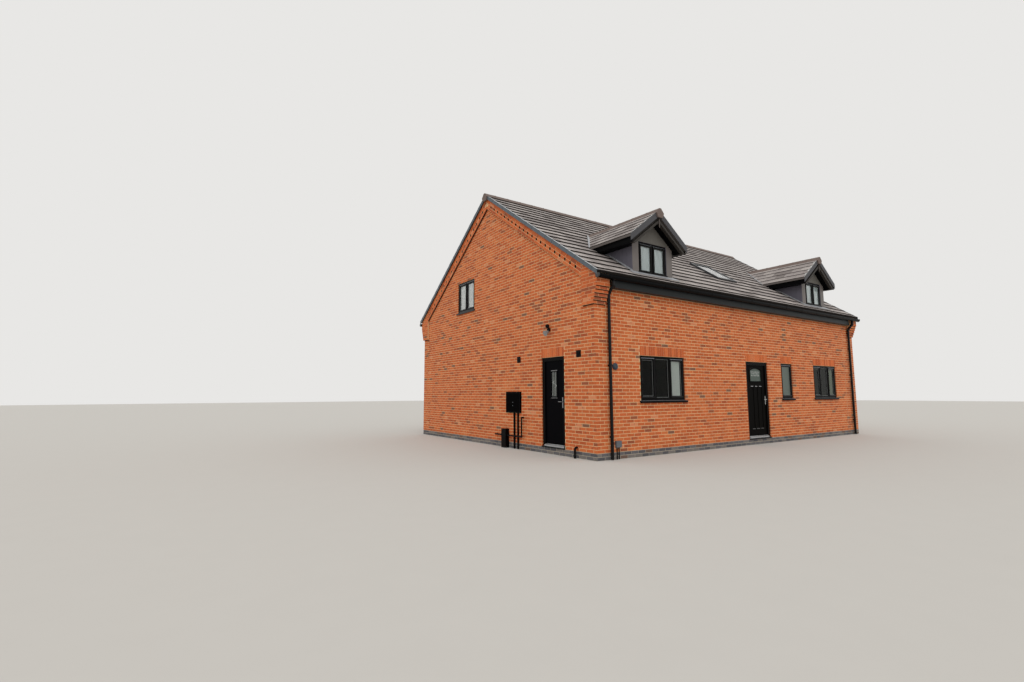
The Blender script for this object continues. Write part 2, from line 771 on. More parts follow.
def outwards(mesh: Mesh) -> Mesh:
    """Turns the faces of closed shells outwards.

    Args:
        mesh: Mesh of the shells.

    Returns:
        The same mesh.
    """
    with edited(mesh) as work:
        bmesh.ops.recalc_face_normals(work, faces=work.faces)
    return mesh


class Repeater:
    """Geometry Nodes tree that lays copies of one unit on a list of places."""

    def __init__(self) -> None:
        """Builds the tree with its named inputs."""
        self.tree = bpy.data.node_groups.new("laid_units", "GeometryNodeTree")
        face = self.tree.interface
        face.new_socket("Places", in_out="INPUT", socket_type="NodeSocketGeometry")
        kinds = {"Unit": "Object", "Finish": "Material", "Seed": "Int", "Tilt": "Float"}
        self.inputs = {
            name: face.new_socket(name, in_out="INPUT", socket_type=f"NodeSocket{kind}").identifier
            for name, kind in kinds.items()}
        face.new_socket("Laid units", in_out="OUTPUT", socket_type="NodeSocketGeometry")
        given = self.add("NodeGroupInput").outputs
        unit = self.add("GeometryNodeObjectInfo", {"Object": given["Unit"]})
        turn, size = (
            self.add("GeometryNodeInputNamedAttribute", {"Name": name}, data_type="FLOAT_VECTOR").outputs[0]
            for name in ("turn", "size"))
        low = self.add("ShaderNodeMath", {0: given["Tilt"], 1: -1.0}, operation="MULTIPLY")
        lean = self.add("FunctionNodeRandomValue", {"Min": low.outputs[0], "Max": given["Tilt"],
                                                    "Seed": given["Seed"]}, data_type="FLOAT_VECTOR")
        turned = self.add("ShaderNodeVectorMath", {0: turn, 1: lean.outputs[0]}, operation="ADD")
        euler = self.add("FunctionNodeEulerToRotation", {0: turned.outputs[0]})
        laid = self.add("GeometryNodeInstanceOnPoints", {
            "Points": given["Places"], "Instance": unit.outputs["Geometry"], "Rotation": euler.outputs[0],
            "Scale": size})
        tone = self.add("FunctionNodeRandomValue", {"Seed": given["Seed"]}, data_type="FLOAT")
        store = self.add("GeometryNodeStoreNamedAttribute", {
            "Geometry": laid.outputs[0], "Name": "tone",
            "Value": next(s for s in tone.outputs if s.enabled)}, data_type="FLOAT", domain="INSTANCE")
        real = self.add("GeometryNodeRealizeInstances", {0: store.outputs[0]})
        dressed = self.add("GeometryNodeSetMaterial",
                           {"Geometry": real.outputs[0], "Material": given["Finish"]})
        self.add("NodeGroupOutput", {0: dressed.outputs[0]})

    def add(self, kind: str, inputs: dict | None = None, **settings: object) -> Node:
        """Adds a node with its inputs and settings."""
        return add_node(self.tree, kind, inputs, **settings)

    def lay(self, name: str, unit: Shape, layer: Layer, finish: Finish, seed: int,
            tilt: float = 0.0, body: Body = Body.HOUSE, more: Shape | None = None) -> Object:
        """Lays units as one piece of plain mesh.

        Args:
            name: Name of the piece.
            unit: The unit's shape.
            layer: The places, turns and sizes.
            finish: The finish of the units.
            seed: Seed of the tones and tilts.
            tilt: Largest random tilt about each axis, in radians.
            body: The body that the piece moves with.
            more: Cut units that belong to the piece, if any.

        Returns:
            The piece.
        """
        spots = bpy.data.meshes.new(name + "_places")
        spots.from_pydata(layer.places, [], [])
        for label, values in (("turn", layer.turns), ("size", layer.sizes)):
            spots.attributes.new(label, "FLOAT_VECTOR", "POINT").data.foreach_set(
                "vector", np.array(values, np.float32).ravel())
        pattern = linked(name + "_unit", unit.mesh(name + "_unit"))
        carrier = linked(name + "_carrier", spots)
        modifier = carrier.modifiers.new("laid", "NODES")
        modifier.node_group = self.tree
        inputs = {"Unit": pattern, "Finish": finish.material(), "Seed": seed, "Tilt": tilt}
        for label, value in inputs.items():
            modifier[self.inputs[label]] = value
        mesh = bpy.data.meshes.new_from_object(carrier.evaluated_get(bpy.context.evaluated_depsgraph_get()))
        mesh.name = name
        carrier.modifiers.clear()
        for made in (pattern, carrier):
            bpy.data.objects.remove(made)
        if more is not None and more.faces:
            with edited(mesh) as both:
                both.from_mesh(more.mesh("trimmed", HOME))
        return finished(mesh, name, finish, body)


REPEATER = Repeater()


def cut(polygon: list[Flat], start: Flat, end: Flat, left: bool) -> list[Flat]:
    """Cuts a convex polygon along a line.

    Args:
        polygon: Corners in order.
        start: First point of the line.
        end: Second point of the line.
        left: Whether the part on the left of the line is kept, or the other part.

    Returns:
        Corners of the kept part, in the same order.
    """
    sign = 1.0 if left else -1.0
    sides = [sign * ((end[0] - start[0]) * (y - start[1]) - (end[1] - start[1]) * (x - start[0]))
             for x, y in polygon]
    kept = []
    for (x0, y0), (x1, y1), s, t in zip(polygon, polygon[1:] + polygon[:1], sides, sides[1:] + sides[:1]):
        if s >= 0:
            kept.append((x0, y0))
        if s * t < 0:
            kept.append((x0 + (x1 - x0) * s / (s - t), y0 + (y1 - y0) * s / (s - t)))
    return kept


def area(polygon: list[Flat]) -> float:
    """Area of a polygon whose corners run anticlockwise."""
    return sum(x0 * y1 - x1 * y0 for (x0, y0), (x1, y1) in zip(polygon, polygon[1:] + polygon[:1])) / 2


def without(polygon: list[Flat], hole: list[Flat], least: float = 2e-5) -> list[list[Flat]]:
    """Splits the part of a convex polygon outside a convex hole.

    Args:
        polygon: Corners of the polygon.
        hole: Corners of the hole.
        least: Area under which a part is dropped.

    Returns:
        Convex parts, or the polygon itself where the hole misses it.
    """
    pieces, rest = [], polygon
    for start, end in zip(hole, hole[1:] + hole[:1]):
        outer = cut(rest, start, end, False)
        if area(outer) > least:
            pieces.append(outer)
        rest = cut(rest, start, end, True)
    return pieces if area(rest) > least else [polygon]


# Brickwork


class Side(Enum):
    """Sides of the house, with the turn that faces a unit outwards."""

    FRONT = 0.0
    RIGHT = math.pi / 2
    BACK = math.pi
    LEFT = -math.pi / 2

    @property
    def long(self) -> bool:
        """Whether the side runs along the ridge."""
        return self in (Side.FRONT, Side.BACK)


@dataclass(frozen=True)
class Opening:
    """An opening in a wall: its two ends along the wall and its two heights."""

    start: float
    end: float
    low: float
    high: float
    soldiers: bool = True


def centred(middle: float, width: float, low: float, high: float, soldiers: bool = True) -> Opening:
    """Opening of a width about a middle."""
    return Opening(middle - width / 2, middle + width / 2, low, high, soldiers)


@dataclass
class WallBricks:
    """Bricks of one wall, laid in stretcher bond in front of its face."""

    side: Side
    openings: list[Opening]
    proud: float = 0.0025
    thick: float = 0.012
    least: float = 0.02
    margin: float = 0.001
    into_band: float = 0.25
    soldier_h: float = 0.215
    soldier_joint: float = 0.006

    @property
    def across(self) -> float:
        """Length of the wall."""
        return PLAN.length if self.side.long else PLAN.depth

    @property
    def top(self) -> float:
        """Height up to which the courses run."""
        return PLAN.soffit_z if self.side.long else PLAN.roof_z(PLAN.mid_y) - self.into_band

    def put(self, layer: Layer, u: float, z: float, length: float, height: float) -> None:
        """Lays a brick on the wall.

        Args:
            layer: Takes the brick.
            u: Distance of its middle along the wall.
            z: Height of its middle.
            length: Its length.
            height: Its height.
        """
        out = self.proud - self.thick / 2
        x, y = {Side.FRONT: (u, -out), Side.BACK: (u, PLAN.depth + out), Side.LEFT: (-out, u),
                Side.RIGHT: (PLAN.length + out, u)}[self.side]
        layer.put((x, y, z), (0.0, 0.0, self.side.value), (length, self.thick, height))

    def spans(self, course: int, z0: float, z1: float) -> list[Flat]:
        """Ends of the bricks of one course, cut round the openings and inside the raked band on a gable.

        Args:
            course: Number of the course.
            z0: Height of its foot.
            z1: Height of its top.

        Returns:
            Both ends of each brick along the wall.
        """
        low, high = -self.proud, self.across + self.proud
        if not self.side.long:
            edge = PLAN.valley_y(z1 + self.into_band)
            low, high = max(low, edge), min(high, PLAN.depth - edge)
        start = 0.0 if (course % 2 == 0) == self.side.long else -PLAN.brick / 2
        gaps = [(hole.start, hole.end) for hole in self.openings if z1 > hole.low + self.margin
                and z0 < hole.high + PLAN.brick * hole.soldiers - self.margin]
        found = []
        for k in range(int(self.across / PLAN.brick) + 2):
            a = start + k * PLAN.brick
            b = a + PLAN.brick - PLAN.joint
            a = -self.proud if a <= 0.0 else a
            b = self.across + self.proud if b >= self.across - PLAN.joint else b
            pieces = [(max(a, low), min(b, high))]
            for g0, g1 in gaps:
                pieces = [p for c, d in pieces for p in ((c, min(d, g0)), (max(c, g1), d))]
            found += [p for p in pieces if p[1] - p[0] > self.least]
        return found

    def courses(self, low: float, high: float) -> Layer:
        """Lays all courses between two heights.

        Args:
            low: The lower height.
            high: The upper height.

        Returns:
            The bricks.
        """
        made = Layer()
        for course in range(round(low / PLAN.course), round(high / PLAN.course)):
            z0 = course * PLAN.course + PLAN.joint / 2
            z1 = z0 + PLAN.course - PLAN.joint
            for a, b in self.spans(course, z0, z1):
                self.put(made, (a + b) / 2, (z0 + z1) / 2, b - a, z1 - z0)
        return made

    def soldiers(self) -> Layer:
        """Lays the upright bricks over the openings.

        Returns:
            The bricks.
        """
        made = Layer()
        for hole in self.openings:
            count = round((hole.end - hole.start) / PLAN.course) if hole.soldiers else 0
            for k in range(count):
                pitch = (hole.end - hole.start) / count
                self.put(made, hole.start + (k + 0.5) * pitch, hole.high + (PLAN.joint + self.soldier_h) / 2,
                         pitch - self.soldier_joint, self.soldier_h)
        return made


@dataclass
class Masonry:
    """All brick units of the house: the four walls, the plinth and the verge brickwork."""

    band_out: float = 0.05
    proud: float = 0.0025
    thick: float = 0.012
    stretcher: float = 0.215
    header: float = 0.1025
    gap: float = 0.004
    least: float = 0.03
    least_area: float = 0.0002
    band_rows: tuple[Point, ...] = ((0.1145, 0.065, 0.25), (0.186, 0.064, 0.0), (0.3675, 0.062, 0.5))
    band_low: float = 0.412
    line_h: float = 0.009
    run_in: float = 0.03
    dentil_depth: float = 0.277
    dentil_pitch: float = 0.221
    dentil_gap: float = 0.075
    dentil_h: float = 0.062
    dentils: int = 21
    reveal: float = 0.04
    panel_y: float = 0.342
    kneeler_w: float = 0.327
    kneeler_z: float = 3.305
    kneeler_steps: int = 6
    kneeler_rows: int = 13
    under_tiles: float = 0.066
    eaves_box: float = 0.15
    shade_h: float = 0.014
    shade_out: float = 0.0045
    seal_x: float = 11.43
    seal: Flat = (0.006, 0.004)
    tilt: float = 0.0015
    plinth_tilt: float = 0.002
    skin: float = 0.002

    def walls(self) -> list[WallBricks]:
        """The four walls with their openings.

        Returns:
            The walls.
        """
        p = PLAN
        wide, narrow, rear, corner = (centred(x, w, p.sill_z, p.head_z) for x, w in (
            (p.wide_x, p.wide_w), (p.narrow_x, p.narrow_w), (p.door_x, p.narrow_w),
            (p.corner_x, p.corner_w)))
        door, side_door = (centred(u, w, p.plinth, p.head_z) for u, w in (
            (p.door_x, p.front_door_w), (p.side_door_y, p.side_door_w)))
        gable = centred(p.gable_win_y, p.gable_win_w, p.gable_win_z, p.gable_win_z + p.gable_win_h, False)
        openings = {Side.FRONT: [wide, narrow, corner, door], Side.LEFT: [gable, side_door],
                    Side.BACK: [wide, rear, corner], Side.RIGHT: [gable]}
        return [WallBricks(side, holes) for side, holes in openings.items()]

    def trim(self, shape: Shape, ring: list[Flat], right: bool, back: bool) -> None:
        """Adds a band brick with a cut outline, unless next to nothing is left of it.

        Args:
            shape: Takes the brick.
            ring: Its outline on the near left quarter, as distances from the wall's end and heights.
            right: Whether it is mirrored to the right gable.
            back: Whether it is mirrored to the back slope.
        """
        if len(ring) < 3 or area(ring) < self.least_area:
            return
        face = -self.band_out - self.proud
        rings = [[PLAN.mirrored(x, y, z, right, back) for y, z in ring] for x in (face, face + self.thick)]
        tone = 0.9 * abs(math.sin(97.0 * ring[0][1] + ring[0][0]))
        shape.loft(rings, back == right, tone=[tone] * 2 * len(ring))

    def band(self, layer: Layer, trimmed: Shape, right: bool, back: bool) -> None:
        """Lays the raked rows of one slope of a gable.

        Args:
            layer: Takes the whole bricks.
            trimmed: Takes the bricks that are cut at the apex and at the kneeler.
            right: Whether it is the right gable.
            back: Whether it is the back slope.
        """
        p, side = PLAN, Side.RIGHT if right else Side.LEFT
        lean = p.pitch if back == right else -p.pitch
        x = self.thick / 2 - self.band_out - self.proud
        apex, foot = p.mid_y - self.gap, self.panel_y + self.gap
        rows = []
        for depth, height, shift in self.band_rows:
            y, first = self.panel_y - self.run_in, p.brick * (1 - shift) * p.cos
            while y < p.mid_y + p.joint:
                rows.append((y, y + first - p.joint * p.cos, depth, height))
                y, first = y + first, p.brick * p.cos
        dentils = []
        for k in range(self.dentils + 1):
            start = (k * self.dentil_pitch + self.dentil_gap / 2) * p.cos if k else -self.run_in
            end = ((k + 1) * self.dentil_pitch - self.dentil_gap / 2) * p.cos
            dentils.append((self.panel_y + start, self.panel_y + end, self.dentil_depth, self.dentil_h))
        for y0, y1, depth, height in rows + dentils:
            y, half_l, half_h = (y0 + y1) / 2, (y1 - y0) / p.cos / 2, height / 2
            z = p.eaves_z + p.tan * y - depth
            ring = [(y + a * half_l * p.cos - b * half_h * p.sin,
                     z + a * half_l * p.sin + b * half_h * p.cos)
                    for a, b in CORNERS]
            if max(ring)[0] < apex and min(ring)[0] > foot:
                layer.put(p.mirrored(x, y, z, right, back), (0.0, lean, side.value),
                          (2 * half_l, self.thick, height))
            else:
                ring = cut(cut(ring, (apex, 0.0), (apex, 1.0), True), (foot, 0.0), (foot, 1.0), False)
                self.trim(trimmed, ring, right, back)
        end = self.panel_y - self.gap
        for k in range(self.kneeler_rows + 1):
            z0 = self.kneeler_z + k * p.course + p.joint / 2
            y0, y1 = (p.valley_y(z + self.under_tiles) for z in (z0, z0 + p.course - p.joint))
            if y0 < end < y1 + self.least:
                ring = [(y0, z0), (end, z0), (end, p.roof_z(end) - self.under_tiles)]
                self.trim(trimmed, ring, right, back)

    def kneeler(self, layer: Layer, right: bool, back: bool) -> None:
        """Lays the courses of one kneeler on its gable side and on its stepped front.

        Args:
            layer: Takes the bricks.
            right: Whether it is on the right gable.
            back: Whether it is at the back.
        """
        p, inset = PLAN, self.thick / 2 - self.proud
        face, gable = Side.BACK if back else Side.FRONT, Side.RIGHT if right else Side.LEFT
        for k in range(self.kneeler_rows):
            z0 = self.kneeler_z + k * p.course + p.joint / 2
            z1 = z0 + p.course - p.joint
            stepped = -min(k + 1, self.kneeler_steps) * self.eaves_box / self.kneeler_steps
            edge = p.valley_y(z1 + self.under_tiles)
            front, end = max(stepped, edge), self.panel_y - self.gap
            near, far = (self.header, self.stretcher) if k % 2 else (self.stretcher, self.header)
            ends, at = [front - self.proud], front + near
            while at + p.joint < end - self.least:
                ends += [at, at + p.joint]
                at += p.brick
            ends.append(end)
            bricks = [(inset - self.band_out, (a + b) / 2, b - a, gable)
                      for a, b in zip(ends[::2], ends[1::2]) if b > a]
            middle = far - self.band_out
            for a, b in ((-self.band_out - self.proud, middle), (middle + p.joint, self.kneeler_w)):
                if stepped < edge:
                    continue
                if b - a > self.stretcher + self.least:
                    bricks.append((a + self.stretcher / 2, front + inset, self.stretcher, face))
                    a += p.brick
                bricks.append(((a + b) / 2, front + inset, b - a, face))
            for x, y, length, side in bricks:
                layer.put(p.mirrored(x, y, (z0 + z1) / 2, right, back), (0.0, 0.0, side.value),
                          (length, self.thick, z1 - z0))

    def shades(self) -> None:
        """Adds the deep joints under the kneeler steps and raked bands, and the backs of the dentil gaps."""
        p, made, out = PLAN, Shape(), self.shade_out
        rakes = [(self.panel_y, p.mid_y, self.band_low, self.band_low + self.line_h)]
        for k in range(1, self.dentils + 1):
            middle, half = self.panel_y + k * self.dentil_pitch * p.cos, self.dentil_gap / 2 * p.cos
            rakes.append((middle - half, middle + half, self.dentil_depth - self.reveal,
                          self.dentil_depth + self.reveal))
        strips = [((-out, 0.0, self.kneeler_z), (0.0, self.panel_y, self.kneeler_z))]
        for k in range(self.kneeler_steps):
            front, z = -k * self.eaves_box / self.kneeler_steps, self.kneeler_z + k * p.course
            strips.append(((-self.band_out * (k > 0) - out, front - out, z), (self.kneeler_w, front, z)))
        for right, back in QUARTERS:
            for y0, y1, top, low in rakes:
                ring = [(y, p.roof_z(y) - d) for y, d in ((y0, low), (y1, low), (y1, top), (y0, top))]
                made.loft([[p.mirrored(x, y, z, right, back) for y, z in ring] for x in (-out, 0.0)],
                          right == back)
            for start, end in strips:
                ends = np.array([p.mirrored(*start, right, back), p.mirrored(*end, right, back)])
                made.box(ends.min(0) - (0.0, 0.0, self.shade_h), ends.max(0) + (0.0, 0.0, self.gap))
        made.piece("kneeler_joints", SHADE, "brick")

    def deep(self, at: Vector) -> int:
        """Picks the finish of a face of the verge brickwork.

        Args:
            at: Middle of the face, from the front left corner.

        Returns:
            1 for the reveals of the dentil gaps, and 0 for the rest.
        """
        out, skin = max(-at.x, at.x - PLAN.length), self.skin
        depth = PLAN.roof_z(at.y) - at.z - self.dentil_depth
        return int(skin < out < self.band_out - skin and abs(depth) < self.reveal - skin
                   and at.y > self.panel_y)

    def build(self) -> None:
        """Lays and dresses every brick unit."""
        for side in ("left", "right"):
            dress_faces(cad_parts[f"verge_brickwork_{side}"].data, (SHADE,), self.deep)
        for seed, wall in enumerate(self.walls(), 11):
            plinth = WallBricks(wall.side, []).courses(0.0, PLAN.plinth)
            for kind, layer, finish, slot, tilt in (
                    ("bricks", wall.courses(PLAN.plinth, wall.top), BRICK_UNIT, "brick", self.tilt),
                    ("soldiers", wall.soldiers(), SOLDIER_UNIT, "brick", self.tilt),
                    ("plinth_bricks", plinth, BLUE_UNIT, "blue_brick", self.plinth_tilt)):
                if layer.places:
                    REPEATER.lay(f"{wall.side.name.lower()}_{kind}", CUBE, layer, finish, seed, tilt)
        for seed, right in ((31, False), (32, True)):
            verge, trimmed = Layer(), Shape()
            for back in (False, True):
                self.band(verge, trimmed, right, back)
                self.kneeler(verge, right, back)
            name = "right_verge_bricks" if right else "left_verge_bricks"
            REPEATER.lay(name, CUBE, verge, BRICK_UNIT, seed, self.tilt, more=trimmed)
        self.shades()
        w, out = self.seal
        seal = Shape().box((self.seal_x - w, -out, PLAN.plinth), (self.seal_x + w, out, PLAN.soffit_z))
        seal.piece("movement_joint", SEALANT, "brick")


# Roof


@dataclass
class Roofing:
    """Tiles, verge units and ridge unions of the main roof."""

    tail: float = 0.016
    head: float = -0.013
    base: float = -0.049
    top: float = 0.03
    chamfer: Flat = (0.016, 0.006)
    side_gap: float = 0.001
    light_x: float = 0.515 * PLAN.length
    light_y: float = 1.33
    light_size: Flat = (0.942, 1.178)
    ridge_clear: float = 0.13
    unit_t: float = 0.003
    unit_foot: Flat = (0.002, -0.07)
    unit_top: Flat = (0.014, 0.0095)
    lip: float = 0.046
    union_pitch: float = 0.45
    unions_on_ridge: int = 27
    unions_on_dormer: int = 5

    def tile(self) -> Shape:
        """One tile of a metre by a metre: a wedge with a chamfered tail, its own y up the slope.

        Returns:
            The tile.
        """
        side = [(0.0, self.base), (1.0, self.base), (1.0, self.head), (self.chamfer[0], self.tail),
                (0.0, self.tail - self.chamfer[1])]
        return Shape().loft([[(x, y, z) for y, z in side] for x in (-0.5, 0.5)], True,
                            tail=[1.0 - y for y, _ in side] * 2)

    def rows(self, slope_len: float) -> list[Flat]:
        """Cuts the slope into courses.

        Args:
            slope_len: Length of the slope from the eaves up.

        Returns:
            Lower and upper end of each course.
        """
        ends = [0.0, PLAN.first_lap]
        while ends[-1] + PLAN.gauge < slope_len:
            ends.append(ends[-1] + PLAN.gauge)
        ends.append(slope_len)
        return list(zip(ends, ends[1:]))

    def slope(self, back: bool, holes: list[list[Flat]]) -> tuple[Layer, Shape]:
        """Lays the tiles of one main slope, and cuts those that meet a hole.

        Args:
            back: Whether it is the back slope.
            holes: Convex holes, as distances along the wall and up the slope.

        Returns:
            Places of the whole tiles, and the cut tiles.
        """
        p, made, trimmed, draw = PLAN, Layer(), Shape(), np.random.default_rng(43)
        x_low, x_high = self.side_gap - p.verge_over, p.length + p.verge_over - self.side_gap
        for k, (s0, s1) in enumerate(self.rows((p.mid_y + p.eaves_over) / p.cos - self.top)):
            x = x_low - (p.tile_w / 2 if k % 2 else 0.0)
            while x < x_high - p.least_tile:
                a, b = max(x, x_low), min(x + p.tile_w - p.tile_gap, x_high)
                x += p.tile_w
                if b - a < p.least_tile:
                    continue
                pieces = whole = [[(a, s0), (b, s0), (b, s1), (a, s1)]]
                for hole in holes:
                    pieces = [part for piece in pieces for part in without(piece, hole)]
                if pieces == whole:
                    made.put(p.mirrored(*p.on_slope((a + b) / 2, s0), False, back),
                             (p.pitch, 0.0, math.pi if back else 0.0), (b - a, s1 - s0, 1.0))
                    continue
                tone = float(draw.random())
                for piece in pieces:
                    parts = [(s - s0) / (s1 - s0) for _, s in piece]
                    low = [p.on_slope(u, s, self.base) for u, s in piece]
                    high = [p.on_slope(u, s, self.tail + (self.head - self.tail) * part)
                            for (u, s), part in zip(piece, parts)]
                    trimmed.loft([low, high], True, tone=[tone] * 2 * len(piece),
                                 tail=[1.0 - part for part in parts] * 2)
        return made, trimmed

    def holes(self) -> list[list[Flat]]:
        """Holes in the front slope for the dormers and the rooflight.

        Returns:
            Corners of each hole, as distances along the wall and up the slope.
        """
        middle = (self.light_y + PLAN.eaves_over) / PLAN.cos
        w, l = (size / 2 for size in self.light_size)
        light = [(self.light_x + a * w, middle + b * l) for a, b in CORNERS]
        return [light] + [[(dormer.x + x, (y + PLAN.eaves_over) / PLAN.cos) for x, y in dormer.opening()]
                          for dormer in DORMERS]

    def verge_unit(self, mirror: bool) -> Shape:
        """One verge unit over a course: a wedge on the lip and a thin wedge down the face.

        Args:
            mirror: Whether it is mirrored for the right end of a slope.

        Returns:
            The unit, one metre long.
        """
        made, left = Shape(), -PLAN.verge_over - PLAN.verge_t - self.unit_t
        widths = (self.lip + PLAN.verge_t + self.unit_t, 2 * self.unit_t)
        for width, foot in zip(widths, self.unit_foot):
            rings = []
            for y, start, top in zip((0.0, 1.0), (0.0, self.unit_t), self.unit_top):
                ring = [(start, foot), (width, foot), (width, top), (start, top)]
                rings.append([(-left - x if mirror else left + x, y, z) for x, z in ring])
            made.loft(rings, mirror)
        return made

    def verges(self) -> None:
        """Lays the verge units along the four verges."""
        p, slope_len = PLAN, (PLAN.mid_y + PLAN.eaves_over - self.ridge_clear) / PLAN.cos
        for mirror, name in ((False, "verge_units_left"), (True, "verge_units_right")):
            made = Layer()
            for back in (False, True):
                # The back slope is turned round, so its left end is at the right gable.
                for s0, s1 in self.rows(slope_len):
                    made.put(p.mirrored(*p.on_slope(0.0, s0), mirror != back, back),
                             (p.pitch, 0.0, math.pi if back else 0.0), (1.0, s1 - s0 - 0.002, 1.0))
            REPEATER.lay(name, self.verge_unit(mirror), made, VERGE, 51)

    def union(self, slope: float, rise: float) -> Shape:
        """Union strap over a ridge, its own y along the ridge.

        Args:
            slope: Pitch of the roof.
            rise: Height of the strap over the tile lines' crossing.

        Returns:
            The strap.
        """
        half, t, flat, under, long = 0.128, 0.004, 0.032, 0.02, 0.018
        low = -math.tan(slope) * half
        outer = [(half, low - 0.002), (half + t, low + 0.012), (flat, rise + t), (-flat, rise + t),
                 (-half - t, low + 0.012), (-half, low - 0.002)]
        return Shape().prism(outer + [(-under, rise - 0.01), (under, rise - 0.01)], -long, long)

    def unions(self) -> None:
        """Lays the union straps along the three ridges."""
        main, small = Layer(), Layer()
        start = (PLAN.length - (self.unions_on_ridge - 1) * self.union_pitch) / 2
        for k in range(self.unions_on_ridge):
            main.put((start + k * self.union_pitch, PLAN.mid_y, PLAN.roof_z(PLAN.mid_y)),
                     (0.0, 0.0, math.pi / 2))
        for dormer in DORMERS:
            for k in range(self.unions_on_dormer):
                small.put((dormer.x, dormer.face + 0.35 + k * self.union_pitch, dormer.apex))
        for name, shape, layer in (("ridge_unions", self.union(PLAN.pitch, 0.035), main),
                                   ("dormer_ridge_unions", self.union(DORMERS[0].pitch, 0.03), small)):
            REPEATER.lay(name, shape, layer, RIDGE, 61)

    def build(self) -> None:
        """Lays and dresses the roof."""
        for back, name in ((False, "front"), (True, "back")):
            layer, trimmed = self.slope(back, [] if back else self.holes())
            piece = REPEATER.lay(name + "_tiles", self.tile(), layer, TILE_UNIT, 41 + back,
                                 more=trimmed)
            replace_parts(piece, "roof_tiles_" + name)
        self.verges()
        self.unions()


# Windows and dormers


@dataclass(frozen=True)
class Casement:
    """One window: its size, its number of lights, which of them open, and the height of its foot."""

    width: float
    height: float
    count: int
    openers: Face
    foot: float = PLAN.sill_h + PLAN.frame_w
    bead: float = 0.034
    sash_lap: float = 0.014

    def lights(self) -> list[Point]:
        """Finds the panes.

        Returns:
            Left edge, right edge and extra inset of each.
        """
        each = (self.width - 2 * PLAN.frame_w - (self.count - 1) * PLAN.mullion_w) / self.count
        found = []
        for i in range(self.count):
            inset = self.bead if i in self.openers else 0.0
            start = PLAN.frame_w + i * (each + PLAN.mullion_w)
            found.append((start + inset, start + each - inset, inset))
        return found


